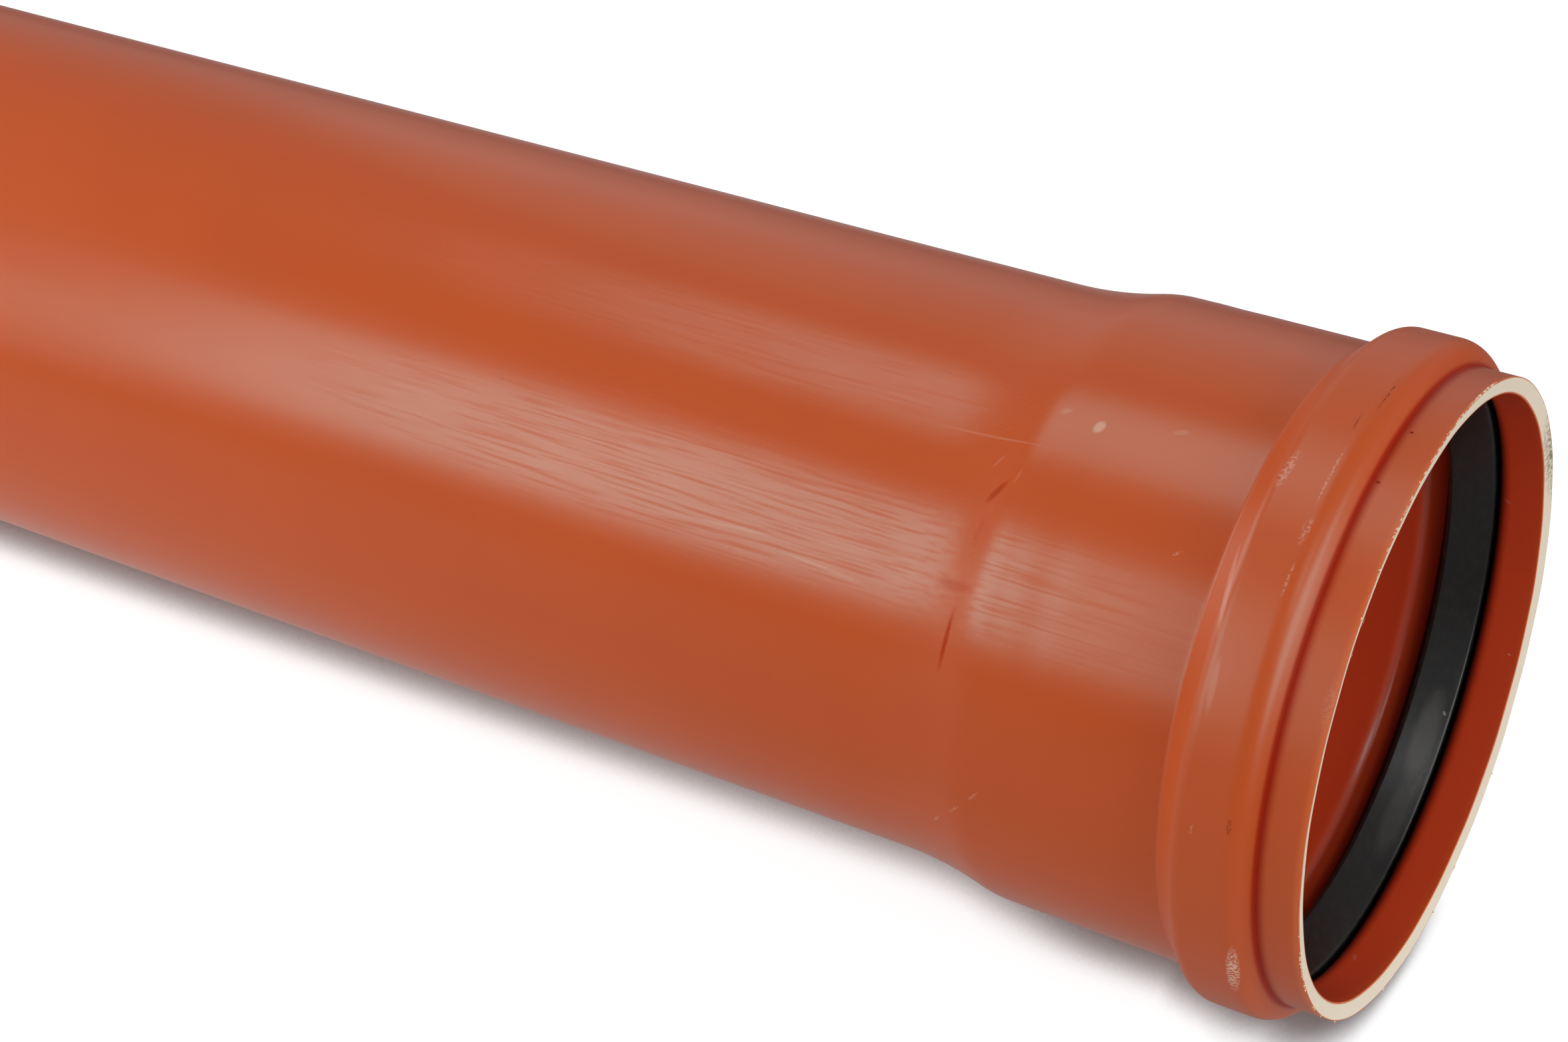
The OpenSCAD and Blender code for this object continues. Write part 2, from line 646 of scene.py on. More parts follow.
@dataclass(frozen=True)
class ExtrudedPvcSkin:
    """PVC-U that was extruded through a die and belled while hot.

    That gives the eye an even orange-brown, a satin sheen with soft wide highlights, and fine
    hairlines along the pipe, some dull and some pale, from sliding in its stack.

    Attributes:
        surface: Which stretch of the pipe it covers.
        base: The body colour.
        mottle: The colour of its slightly faded patches.
        edge_glow: The brighter colour close to a cut edge, where light comes through the skin.
        pale: The colour of a scuff.
        dark: The colour of a smudge.
        sheen: The sheen's tint, which keeps it from washing the orange out to pink.
        shine: The sheen's strength on clean skin, on a hairline and on a smudge or painted shade.
        roughness: The satin sheen's roughness.
        ior: The refractive index of PVC.
        patch: The width of a faded patch.
        hair: The length, along the pipe, and width of a hairline. Real ones are 0.1 mm wide and
            would not show, so they are wider.
        speck: The size of the specks that a scuff breaks up into.
        glow_reach: How far the brighter colour reaches from the rim.
        stain: The stations between which shade is painted on the skin, with a soft edge before and after:
            first, full, last full and end.
        soil: The colour of the painted shade: near black in the gap and groove around the sealing ring, and
            deep red for the shade and red reflection in the bead's crease.
    """

    surface: Surface
    base: str = "#c44f14"
    mottle: str = "#bb4a15"
    edge_glow: str = "#e0692c"
    pale: str = "#e3bda8"
    dark: str = "#a83208"
    sheen: str = "#a8fff8"
    shine: tuple[float, float, float] = (0.5, 0.4, 0.08)
    roughness: float = 0.25
    ior: float = 1.53
    patch: float = 45.0
    hair: tuple[float, float] = (24.0, 0.75)
    speck: float = 0.7
    glow_reach: float = 0.0
    stain: Optional[tuple[float, float, float, float]] = None
    soil: str = "#170d0a"

    def material(self, axis: PipeAxis, radius_at: RadiusAt) -> bpy.types.Material:
        """Makes the material.

        Args:
            axis: The pipe's axis, which the pattern follows.
            radius_at: Gives the radius that the marks lie on, at a station.

        Returns:
            The material.
        """
        paint = PipePaint(f"extruded_pvc_{self.surface.value}", axis)
        station = paint.node("SeparateXYZ", {0: paint.local}).outputs["X"]
        pattern = paint.ramp(paint.noise(self.speck, self.speck, detail=1.0), (0.4, 0.58))
        colour = paint.blend(paint.noise(self.patch, self.patch, detail=2.0), self.base, self.mottle)
        if self.glow_reach:
            near_cut = paint.ramp(station, (0.0, self.glow_reach * MM), (0.5, 0.0), smooth=True)
            colour = paint.blend(near_cut, colour, self.edge_glow)
        dulled: list[bpy.types.Node] = []
        for tone, tint in ((Tone.PALE, self.pale), (Tone.DARK, self.dark)):
            shown = paint.marks(WEAR[self.surface].get(tone, ()), radius_at, pattern)
            if shown is None:
                continue
            colour = paint.blend(shown, colour, tint)
            if tone is Tone.DARK:
                dulled.append(shown)
        # painted shade: darkens the bead's crease and the groove around the sealing ring in the colour, and
        # dulls the sheen there
        if self.stain:
            shade_share = self._soiled(paint, station)
            colour = paint.blend(shade_share, colour, self.soil)
            dulled.append(shade_share)
        roughness: Value | float = self.roughness
        shine: Value | float = self.shine[0]
        if self.surface in (Surface.SOCKET, Surface.BARREL):
            rubbed = paint.marks(RUBBED, radius_at, pattern)
            colour, roughness, shine = self._scratched(paint, colour, rubbed)
        for shown in dulled:
            shine = paint.ramp(shown, (0.0, 1.0), (shine, self.shine[2]))
        shader = paint.node(
            "BsdfPrincipled",
            {
                "Base Color": colour,
                "Roughness": roughness,
                "IOR": self.ior,
                "Specular IOR Level": shine,
                "Specular Tint": linear(self.sheen),
            },
        )
        return paint.finished(shader)

    def _soiled(self, paint: PipePaint, station: Value) -> bpy.types.Node:
        """Paints shade on the skin between two stations.

        Args:
            paint: The material in the making.
            station: The station, in metres.

        Returns:
            How much of the painted shade shows.
        """
        first, full, last_full, last = (mark * MM for mark in self.stain)
        before = paint.ramp(station, (first, full), smooth=True)
        after = paint.ramp(station, (last, last_full), smooth=True)
        return paint.product(before, after)

    def _scratched(
        self, paint: PipePaint, colour: Value, rubbed: Value
    ) -> tuple[bpy.types.Node, bpy.types.Node, bpy.types.Node]:
        """Draws hairlines along the pipe.

        Args:
            paint: The material in the making.
            colour: The colour without hairlines.
            rubbed: Where the hairlines are strong.

        Returns:
            The colour, roughness and shine with hairlines.
        """
        hairs = paint.noise(*self.hair, detail=1.0)
        share = paint.ramp(rubbed, (0.0, 1.0), (0.05, 1.0))
        dull = paint.product(paint.ramp(hairs, (0.5, 0.68)), share)
        pale = paint.product(paint.ramp(hairs, (0.42, 0.3), (0.0, 0.06)), share)
        roughness = paint.ramp(dull, (0.0, 1.0), (self.roughness, self.roughness + 0.1))
        shine = paint.ramp(dull, (0.0, 1.0), self.shine[:2])
        return paint.blend(pale, colour, self.pale), roughness, shine


@dataclass(frozen=True)
class SawCutCore:
    """The cellular core of the wall, laid bare by a saw or a bevelling tool.

    That gives the eye a matt cream with a fine open grain, between two thin orange lines where the
    skins were cut through.

    Attributes:
        name: The material's name.
        outer: The radius of the outer skin's surface.
        inner: The radius of the inner skin's surface.
        cream: The core's colour.
        shade: The colour in its open cells.
        skin: The colour of a cut skin.
        dirt: The colour of rubbed-in dirt.
        outer_skin: The thickness of the outer skin.
        inner_skin: The thickness of the inner skin.
        cell: The size of a cell. Real ones are 0.1 mm, and these are coarser so that they show.
        grit: The size of the dirt's grains.
        dirt_reach: How far the dirt reaches around, along and through the cut.
        roughness: The cut's roughness.
        ior: The refractive index of PVC.
    """

    name: str
    outer: float
    inner: float
    cream: str = "#e8dcc9"
    shade: str = "#d8c9b0"
    skin: str = "#c86a3c"
    dirt: str = "#76684f"
    outer_skin: float = 0.3
    inner_skin: float = 0.45
    cell: float = 0.35
    grit: float = 1.1
    dirt_reach: tuple[float, float, float] = (24.0, 6.0, 6.0)
    roughness: float = 0.7
    ior: float = 1.53

    def material(self, axis: PipeAxis, dirty_turn: Optional[float] = None) -> bpy.types.Material:
        """Makes the material.

        Args:
            axis: The pipe's axis.
            dirty_turn: Where dirt is rubbed into the cut, in degrees around the pipe, if anywhere.

        Returns:
            The material.
        """
        paint = PipePaint(self.name, axis)
        cells = paint.noise(self.cell, self.cell, detail=2.0)
        colour = paint.blend(cells, self.shade, self.cream)
        if dirty_turn is not None:
            colour = paint.blend(self._dirtied(paint, dirty_turn), colour, self.dirt)
        across = paint.node("VectorMath", {0: paint.local, 1: (0.0, 1.0, 1.0)}, operation="MULTIPLY")
        radius = paint.node("VectorMath", {0: across}, operation="LENGTH").outputs["Value"]
        for edge, depth in ((self.outer, -self.outer_skin), (self.inner, self.inner_skin)):
            span = ((edge + 1.25 * depth) * MM, (edge + 0.75 * depth) * MM)
            colour = paint.blend(paint.ramp(radius, span, smooth=True), colour, self.skin)
        normal = paint.node("Bump", {"Strength": 0.5, "Distance": 0.08 * MM, "Height": cells})
        shader = paint.node(
            "BsdfPrincipled",
            {"Base Color": colour, "Roughness": self.roughness, "IOR": self.ior, "Normal": normal},
        )
        return paint.finished(shader)

    def _dirtied(self, paint: PipePaint, turn: float) -> bpy.types.Node:
        """Rubs dirt into a stretch of the cut.

        Args:
            paint: The material in the making.
            turn: The middle of the stretch, in degrees around the pipe.

        Returns:
            How much of the dirt shows.
        """
        reach = paint.blot(paint.axis.point(0, self.outer, turn), turn, 90, self.dirt_reach)
        grime = paint.ramp(paint.noise(self.grit, self.grit, detail=4.0), (0.36, 0.6), (0.0, 1.3))
        return paint.product(reach, grime)


@dataclass(frozen=True)
class MouldedRubber:
    """SBR rubber, moulded in a polished tool and a little dusty from the store.

    That gives the eye a deep black with a dull sheen, and a thin grey dusty film, which on the lip's face
    is also painted sheen where the face mirrors the lamps.

    Attributes:
        base: The rubber's colour.
        dust: The colour of the dusty film, which is also the painted sheen on the lip's face.
        roughness: The clean rubber's roughness.
        ior: The refractive index of rubber.
        grain: The length, around the ring, and width of a rub mark.
    """

    base: str = "#131312"
    dust: str = "#a9ada6"
    roughness: float = 0.36
    ior: float = 1.52
    grain: tuple[float, float] = (3.0, 1.4)

    def material(self, axis: PipeAxis, radius_at: RadiusAt) -> bpy.types.Material:
        """Makes the material.

        Args:
            axis: The pipe's axis.
            radius_at: Gives the radius of the ring's face at a station.

        Returns:
            The material.
        """
        paint = PipePaint("moulded_rubber", axis)
        length, width = self.grain
        rubs = paint.noise(width, length, detail=3.0)
        pattern = paint.ramp(rubs, (0.35, 0.55))
        # the film is dusty, and where the lip's face mirrors the lamps it is also painted sheen
        dust_and_sheen_film = paint.marks(WEAR[Surface.RUBBER][Tone.PALE], radius_at, pattern)
        haze = paint.ramp(rubs, (0.45, 0.8), (0.0, 0.02))
        dust_and_sheen_film = paint.node("Math", {0: dust_and_sheen_film, 1: haze}, operation="ADD")
        colour = paint.blend(dust_and_sheen_film, self.base, self.dust)
        roughness = paint.ramp(rubs, (0.0, 1.0), (self.roughness - 0.06, self.roughness + 0.06))
        inputs = {"Base Color": colour, "Roughness": roughness, "IOR": self.ior}
        return paint.finished(paint.node("BsdfPrincipled", inputs))


@dataclass(frozen=True)
class TornPvc:
    """Skin and core torn together by the saw's teeth.

    That gives the eye ragged crumbs that are cream on one side and orange on the other.

    Attributes:
        cream: The core's colour.
        orange: The skin's colour.
        crumb: The size of a crumb.
        roughness: The torn faces' roughness.
    """

    cream: str = "#ecd9bd"
    orange: str = "#d8743c"
    crumb: float = 0.9
    roughness: float = 0.65

    def material(self) -> bpy.types.Material:
        """Makes the material.

        Returns:
            The material.
        """
        paint = Paint("torn_pvc_burr")
        inputs = {"Vector": paint.place, "Scale": 1 / (self.crumb * MM), "Detail": 1.0}
        lumps = paint.node("TexNoise", inputs).outputs["Fac"]
        colour = paint.blend(paint.ramp(lumps, (0.42, 0.58)), self.orange, self.cream)
        shader = paint.node("BsdfPrincipled", {"Base Color": colour, "Roughness": self.roughness})
        return paint.finished(shader)


@dataclass(frozen=True)
class Dent:
    """A shallow dent in the wall.

    Attributes:
        station: Its middle along the pipe.
        turn: Its middle around the pipe, in degrees.
        depth: How deep it is.
        length: Its reach along the pipe.
        spread: Its reach around the pipe, in degrees.
    """

    station: float
    turn: float
    depth: float
    length: float
    spread: float


@dataclass
class PipeWall:
    """The pipe: barrel, shoulder, socket, seal bead, mouth collar and cut ends, as one wall.

    The radii that mate with other pipe come from the frame, and the rest are the drawing's sizes.
    """

    barrel_r: float
    flow_r: float
    mouth_r: float
    bead_r: float
    laid_length: float = 1000.0
    bevel_depth: float = 2.4
    bevel_angle: float = 15.0
    socket_depth: float = 93.0
    socket_play: float = 0.4
    socket_wall: float = 4.0
    shoulder_length: float = 18.0
    shoulder_rounding: float = 20.0
    neck_rounding: float = 110.0
    bell_rounding: float = 32.0
    mouth_wall: float = 4.6
    collar_length: float = 11.0
    rim_slope: float = 1.0
    bead_wall: float = 4.2
    front_flank: float = 3.6
    crown_length: float = 15.8
    rear_flank: float = 6.6
    front_rounding: float = 6.0
    crown_rounding: float = 4.5
    crease_rounding: float = 0.4
    root_rounding: float = 1.5
    least_rounding: float = 0.3
    edge_rounding: float = 0.2
    # how far the saw cut the rim out of square, upward and to the side, and its waves
    cock_up: float = 0.35
    cock_side: float = -0.5
    saw_wave: float = 0.05
    # how uneven cooling left the wall, over what lengths, and how soon behind the bead
    unevenness: float = 0.05
    uneven_lengths: tuple[float, float] = (31.0, 67.0)
    settling: float = 40.0
    # the ripples that the belling mandrel left: height, middle, reach and pitch
    ripple: float = 0.05
    ripple_middle: float = 83.0
    ripple_reach: float = 11.0
    ripple_pitch: float = 2.2
    segments: int = 272
    dents: tuple[Dent, ...] = (
        Dent(31.5, 44.0, 0.30, 3.5, 5.0),
        Dent(30.5, 58.0, 0.18, 3.0, 7.0),
        Dent(31.0, 24.0, 0.20, 3.0, 4.0),
        Dent(102.0, 50.0, 0.20, 7.0, 9.0),
        Dent(97.0, 80.0, 0.15, 6.0, 8.0),
    )

    @property
    def length(self) -> float:
        """The whole length, from the rim to the spigot's end."""
        return self.laid_length + self.socket_depth

    @property
    def collar_r(self) -> float:
        """The outside radius of the mouth collar."""
        return self.mouth_r + self.mouth_wall

    @property
    def socket_r(self) -> float:
        """The radius of the socket's bore."""
        return self.barrel_r + self.socket_play

    @property
    def bell_r(self) -> float:
        """The outside radius of the socket."""
        return self.socket_r + self.socket_wall

    @property
    def groove_r(self) -> float:
        """The radius of the floor of the seal's groove."""
        return self.bead_r - self.bead_wall

    @property
    def crown_start(self) -> float:
        """Where the bead's crown starts."""
        return self.collar_length + self.front_flank

    @property
    def crown_end(self) -> float:
        """Where the bead's crown ends."""
        return self.crown_start + self.crown_length

    @property
    def bell_start(self) -> float:
        """Where the bead's rear flank runs out into the socket."""
        return self.crown_end + self.rear_flank

    @property
    def shoulder_end(self) -> float:
        """Where the shoulder runs out into the barrel."""
        return self.socket_depth + self.shoulder_length

    @property
    def front_angle(self) -> float:
        """The slope of the bead's flank on the mouth's side, in radians."""
        return math.atan2(self.bead_r - self.collar_r, self.front_flank)

    @property
    def rear_angle(self) -> float:
        """The slope of the bead's flank on the socket's side, in radians."""
        return math.atan2(self.bead_r - self.bell_r, self.rear_flank)

    @property
    def groove_start(self) -> float:
        """Where the floor of the seal's groove starts."""
        return self.crown_start + self.bead_wall * math.tan(self.front_angle / 2)

    @property
    def groove_end(self) -> float:
        """Where the floor of the seal's groove ends."""
        return self.crown_end - self.bead_wall * math.tan(self.rear_angle / 2)

    @property
    def groove_roundings(self) -> tuple[float, ...]:
        """The roundings of the groove's floor on the mouth's side and on the socket's side."""
        outside = (self.front_rounding, self.crown_rounding)
        return tuple(max(self.least_rounding, rounding - self.bead_wall) for rounding in outside)

    @property
    def land_end(self) -> float:
        """Where the bore of the mouth collar ends."""
        return self.groove_start - (self.groove_r - self.mouth_r) / math.tan(self.front_angle)

    def bore(self) -> list[Corner]:
        """Lists the corners of the inside, from the rim to the spigot's end.

        Returns:
            The corners, in order.
        """
        bore_start = self.groove_end + (self.groove_r - self.socket_r) / math.tan(self.rear_angle)
        front, rear = self.groove_roundings
        inside = Surface.BORE
        return [
            Corner(self.rim_slope, self.mouth_r, self.edge_rounding, inside),
            Corner(self.land_end, self.mouth_r, self.crease_rounding + self.bead_wall, inside),
            Corner(self.groove_start, self.groove_r, front, inside),
            Corner(self.groove_end, self.groove_r, rear, inside),
            Corner(bore_start, self.socket_r, self.root_rounding + self.bead_wall, inside),
            Corner(self.socket_depth, self.socket_r, self.shoulder_rounding, inside),
            Corner(self.shoulder_end, self.flow_r, self.shoulder_rounding, inside),
            Corner(self.length, self.flow_r, self.edge_rounding, Surface.SPIGOT_CUT),
        ]

    def outside(self) -> list[Corner]:
        """Lists the corners of the outside, from the spigot's end to the rim.

        Returns:
            The corners, in order.
        """
        bevel_start = self.length - self.bevel_depth / math.tan(math.radians(self.bevel_angle))
        return [
            Corner(self.length, self.barrel_r - self.bevel_depth, self.edge_rounding, Surface.SPIGOT_CUT),
            Corner(bevel_start, self.barrel_r, self.edge_rounding, Surface.BARREL),
            Corner(self.shoulder_end, self.barrel_r, self.neck_rounding, Surface.SOCKET, longest=2.5),
            Corner(self.socket_depth, self.bell_r, self.bell_rounding, Surface.SOCKET, longest=2.5),
            Corner(self.bell_start, self.bell_r, self.root_rounding, Surface.BEAD),
            Corner(self.crown_end, self.bead_r, self.crown_rounding, Surface.BEAD),
            Corner(self.crown_start, self.bead_r, self.front_rounding, Surface.BEAD),
            Corner(self.collar_length, self.collar_r, self.crease_rounding, Surface.BEAD),
            Corner(0.0, self.collar_r, self.edge_rounding, Surface.RIM_CUT),
        ]

    def outside_radius(self, station: float) -> float:
        """Gives the radius of the outside at a station.

        Args:
            station: The station.

        Returns:
            The radius there.
        """
        points = Outline.rounded(self.outside(), arc_step=8.0).points
        order = np.argsort(points[:, 0])
        return float(np.interp(station, points[order, 0], points[order, 1]))

    def land_radius(self, station: float) -> float:
        """Gives the radius of the mouth collar's bore, which is the same at each station."""
        return self.mouth_r

    def handled(self, station: Grid, radius: Grid, angle: Grid) -> tuple[Grid, Grid]:
        """Gives the wall its shape as cut, cooled and handled.

        The saw cut the rim a little out of square, the belling mandrel left faint ripples in the
        socket, cooling left the wall slightly uneven, and knocks left shallow dents.

        Args:
            station: The stations of all points.
            radius: Their radii.
            angle: Their angles around the pipe, in radians.

        Returns:
            The new stations and radii.
        """
        near_rim = np.clip(1 - station / self.collar_length, 0, 1)
        lean = self.cock_up * np.cos(angle) + self.cock_side * np.sin(angle)
        wave = self.saw_wave * (np.sin(9 * angle + 1.0) + 0.7 * np.sin(23 * angle))
        moved = station + (lean + wave * near_rim) * near_rim
        beyond_bead = np.clip((station - self.bell_start) / self.settling, 0, 1)
        short, long = self.uneven_lengths
        uneven = np.sin(station / short + 2 * np.sin(angle)) * np.sin(3 * angle + station / long)
        sunk = self.unevenness * beyond_bead * (uneven - 1)
        belled = np.exp(-(((station - self.ripple_middle) / self.ripple_reach) ** 2))
        waves = np.sin((station - self.socket_depth) / self.ripple_pitch)
        sunk = sunk + self.ripple * belled * (waves - 1)
        degrees = np.degrees(angle)
        for dent in self.dents:
            along, around = (station - dent.station) / dent.length, (degrees - dent.turn) / dent.spread
            sunk = sunk - dent.depth * np.exp(-(along**2 + around**2))
        # the barrel's inside keeps its radius
        return moved, radius + np.where(radius > self.barrel_r - 1, sunk, 0)

    def build(self, axis: PipeAxis) -> bpy.types.Object:
        """Builds the wall and dresses it.

        Args:
            axis: The pipe's axis.

        Returns:
            The finished piece.
        """
        rim_cut = SawCutCore("saw_cut_rim", self.collar_r, self.mouth_r)
        spigot_cut = SawCutCore("bevelled_spigot", self.barrel_r, self.flow_r)
        bead = ExtrudedPvcSkin(
            Surface.BEAD,
            dark="#6b210c",
            roughness=0.36,
            glow_reach=2.0,
            # painted shade and red reflection in the crease at the bead's foot
            stain=(8.0, 10.8, 11.2, 12.0),
            soil="#a22608",
        )
        # the bore is painted brighter and redder than the outside skin, as painted light for the light that
        # bounces inside the mouth; painted shade darkens the gap and groove around the sealing ring
        bore = ExtrudedPvcSkin(
            Surface.BORE, base="#e0502a", mottle="#d44826", glow_reach=3.5, stain=(11.5, 14.5, 27.0, 30.5)
        )
        finishes = {
            Surface.BEAD: bead.material(axis, self.outside_radius),
            Surface.SOCKET: ExtrudedPvcSkin(Surface.SOCKET).material(axis, self.outside_radius),
            Surface.BARREL: ExtrudedPvcSkin(Surface.BARREL).material(axis, self.outside_radius),
            Surface.BORE: bore.material(axis, self.land_radius),
            Surface.RIM_CUT: rim_cut.material(axis, dirty_turn=-66.0),
            Surface.SPIGOT_CUT: spigot_cut.material(axis),
        }
        outline = Outline.rounded(self.bore() + self.outside(), arc_step=6.0)
        piece = turned_piece("pipe_wall", outline, axis, self.segments, finishes, self.handled)
        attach(piece, BODY)
        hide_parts("pipe")
        return piece


@dataclass
class RimBurrs:
    """Crumbs that the saw tore from the rim's outer edge, and hairs of swarf on its inner edge.

    Attributes:
        wall: The wall whose rim they are on.
        crumbs: The clusters of crumbs: middle and spread around the pipe, in degrees, and number.
        crumb_length: The greatest length of a crumb.
        crumb_height: The usual height of a crumb.
        crumb_root: How deep the foot of a crumb is in the wall.
        hairs: Where the hairs hang around the pipe, in degrees.
        hair_length: The length of a hair.
        hair_radius: Its radius at the root.
        hair_curl: How far it curls, in radians.
        hair_root: How far its root is behind the rim's inner edge, and how deep in the wall.
        seed: Settles the crumbs' irregular shapes.
    """

    wall: PipeWall
    crumbs: tuple[tuple[float, float, int], ...] = (
        (-4.0, 5.0, 55),
        (12.0, 12.0, 60),
        (34.0, 8.0, 10),
        (113.0, 5.0, 22),
        (160.0, 60.0, 12),
    )
    crumb_length: float = 1.4
    crumb_height: float = 0.6
    crumb_root: float = 0.15
    hairs: tuple[float, ...] = (46.7, 52.4)
    hair_length: float = 5.5
    hair_radius: float = 0.08
    hair_curl: float = 2.6
    hair_root: tuple[float, float] = (0.3, 0.1)
    seed: int = 11

    def build(self, axis: PipeAxis) -> bpy.types.Object:
        """Builds the burrs and dresses them.

        Args:
            axis: The pipe's axis.

        Returns:
            The finished piece.
        """
        chance = np.random.default_rng(self.seed)
        points: list[Vector] = []
        faces: list[tuple[int, ...]] = []
        for middle, spread, count in self.crumbs:
            for turn in chance.normal(middle, spread, count):
                self._add_crumb(axis, float(turn), chance, points, faces)
        for turn in self.hairs:
            self._add_hair(axis, turn, points, faces)
        mesh = bpy.data.meshes.new("rim_burrs")
        mesh.from_pydata(points, [], faces)
        mesh.materials.append(TornPvc().material())
        mesh.validate()
        piece = put_in_scene("rim_burrs", mesh)
        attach(piece, BODY)
        return piece

    def _edge(self, turn: float) -> float:
        """Gives the station of the rim's outer edge at a turn in degrees."""
        angle = math.radians(turn)
        return self.wall.cock_up * math.cos(angle) + self.wall.cock_side * math.sin(angle)

    def _add_crumb(
        self,
        axis: PipeAxis,
        turn: float,
        chance: np.random.Generator,
        points: list[Vector],
        faces: list[tuple[int, ...]],
    ) -> None:
        """Adds a ragged crumb on the rim's outer edge.

        Args:
            axis: The pipe's axis.
            turn: Where it sits around the pipe, in degrees.
            chance: Gives its irregular shape.
            points: The mesh's points, which it adds to.
            faces: The mesh's faces, which it adds to.
        """
        edge, collar = self._edge(turn), self.wall.collar_r
        half = math.degrees(self.crumb_length * chance.uniform(0.3, 1.0) / collar) / 2
        height = self.crumb_height * chance.uniform(0.4, 1.2)
        wide = chance.uniform(0.25, 0.8)
        first = len(points)
        rough = chance.uniform(-0.3, 0.3, (5, 2))
        base = ((-1, 0.05), (1, 0.0), (1, wide), (-1, wide * 0.8))
        for k, (way, back) in enumerate(base):
            around = turn + half * (way + rough[k, 0])
            points.append(axis.point(edge + back, collar - self.crumb_root, around))
        lean = half * rough[4, 0] * 2
        points.append(axis.point(edge + wide * rough[4, 1], collar + height, turn + lean))
        for a, b in ((0, 1), (1, 2), (2, 3), (3, 0)):
            faces.append((first + a, first + b, first + 4))
        faces.append((first + 3, first + 2, first + 1, first))

    def _add_hair(
        self, axis: PipeAxis, turn: float, points: list[Vector], faces: list[tuple[int, ...]]
    ) -> None:
        """Adds a curled hair of swarf on the rim's inner edge.

        Args:
            axis: The pipe's axis.
            turn: Where it hangs around the pipe, in degrees.
            points: The mesh's points, which it adds to.
            faces: The mesh's faces, which it adds to.
        """
        steps, sides = 12, 5
        behind, deep = self.hair_root
        root = axis.point(self.wall.rim_slope + behind, self.wall.mouth_r + deep, turn)
        inward = -axis.outward(turn)
        around = inward.cross(axis.along)
        bend = self.hair_length * MM / self.hair_curl
        first = len(points)
        for k in range(steps + 1):
            share = k / steps
            curl = share * self.hair_curl
            middle = root + (inward * math.sin(curl) + around * (1 - math.cos(curl))) * bend
            ahead = inward * math.cos(curl) + around * math.sin(curl)
            beside = ahead.cross(axis.along)
            reach = self.hair_radius * MM * (1.05 - share)
            for j in range(sides):
                angle = 2 * math.pi * j / sides
                points.append(middle + (beside * math.cos(angle) + axis.along * math.sin(angle)) * reach)
        for k in range(steps):
            for j in range(sides):
                a, b = first + k * sides + j, first + k * sides + (j + 1) % sides
                faces.append((a, b, b + sides, a + sides))
        faces.append(tuple(first + j for j in reversed(range(sides))))
        faces.append(tuple(first + steps * sides + j for j in range(sides)))


@dataclass
class SealingRing:
    """The lip seal in the groove of the bead."""

    wall: PipeWall
    lip_r: float
    lip_length: float = 10.8
    lip_edge: float = 1.4
    nose_height: float = 0.6
    nose_setback: float = 2.0
    heel_thickness: float = 3.4
    notch_setback: float = 6.0
    heel_play: float = 0.3
    nose_rounding: float = 1.2
    notch_rounding: float = 0.6
    corner_relief: float = 0.7
    edge_rounding: float = 0.25
    segments: int = 272

    @property
    def nose(self) -> float:
        """The station of the ring's nose."""
        return self.wall.land_end + self.nose_setback

    def section(self) -> list[Corner]:
        """Lists the corners of the ring's section.

        Returns:
            The corners, in order.
        """
        wall = self.wall
        heel_r = wall.groove_r - self.heel_thickness
        heel = wall.groove_end - self.heel_play / math.sin(wall.rear_angle)
        heel_end = heel + self.heel_thickness / math.tan(wall.rear_angle)
        lip = self.nose + self.lip_length
        front_r = wall.mouth_r + self.nose_setback * math.tan(wall.front_angle)
        front, rear = (rounding + self.corner_relief for rounding in wall.groove_roundings)
        corners = (
            (self.nose, wall.mouth_r + self.nose_height, self.nose_rounding),
            (self.nose, front_r, 0.0),
            (wall.groove_start, wall.groove_r, front),
            (heel, wall.groove_r, rear),
            (heel_end, heel_r, self.nose_rounding),
            (self.nose + self.notch_setback, heel_r, self.notch_rounding),
            (lip + self.lip_edge, self.lip_r, self.edge_rounding),
            (lip, self.lip_r, self.edge_rounding),
        )
        return [Corner(*corner, Surface.RUBBER, longest=3.0) for corner in corners]

    def face_radius(self, station: float) -> float:
        """Gives the radius of the lip's face at a station."""
        share, nose_r = (station - self.nose) / self.lip_length, self.wall.mouth_r + self.nose_height
        return nose_r + share * (self.lip_r - nose_r)

    def build(self, axis: PipeAxis) -> bpy.types.Object:
        """Builds the ring and dresses it.

        Args:
            axis: The pipe's axis.

        Returns:
            The finished piece.
        """
        finishes = {Surface.RUBBER: MouldedRubber().material(axis, self.face_radius)}
        outline = Outline.rounded(self.section(), arc_step=10.0)
        piece = turned_piece("lip_seal", outline, axis, self.segments, finishes)
        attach(piece, BODY)
        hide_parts("sealing_ring")
        return piece


@dataclass(frozen=True)
class Softbox:
    """A softbox of the studio.

    Attributes:
        name: Its name.
        place: Where it stands, in metres.
        aim: What it faces, in metres.
        width: Its width, in metres.
        height: Its height, in metres.
        brightness: How bright it looks, where 1 is white paper.
    """

    name: str
    place: tuple[float, float, float]
    aim: tuple[float, float, float]
    width: float
    height: float
    brightness: float

    def build(self) -> bpy.types.Object:
        """Hangs the softbox.

        Returns:
            The light.
        """
        light = bpy.data.lights.new(self.name, "AREA")
        light.shape = "RECTANGLE"
        light.size = self.width
        light.size_y = self.height
        light.energy = self.brightness * math.pi * self.width * self.height
        lamp = put_in_scene(self.name, light)
        lamp.location = self.place
        lamp.rotation_mode = "QUATERNION"
        lamp.rotation_quaternion = (Vector(self.aim) - Vector(self.place)).to_track_quat("-Z", "Y")
        lamp.visible_camera = False
        return lamp


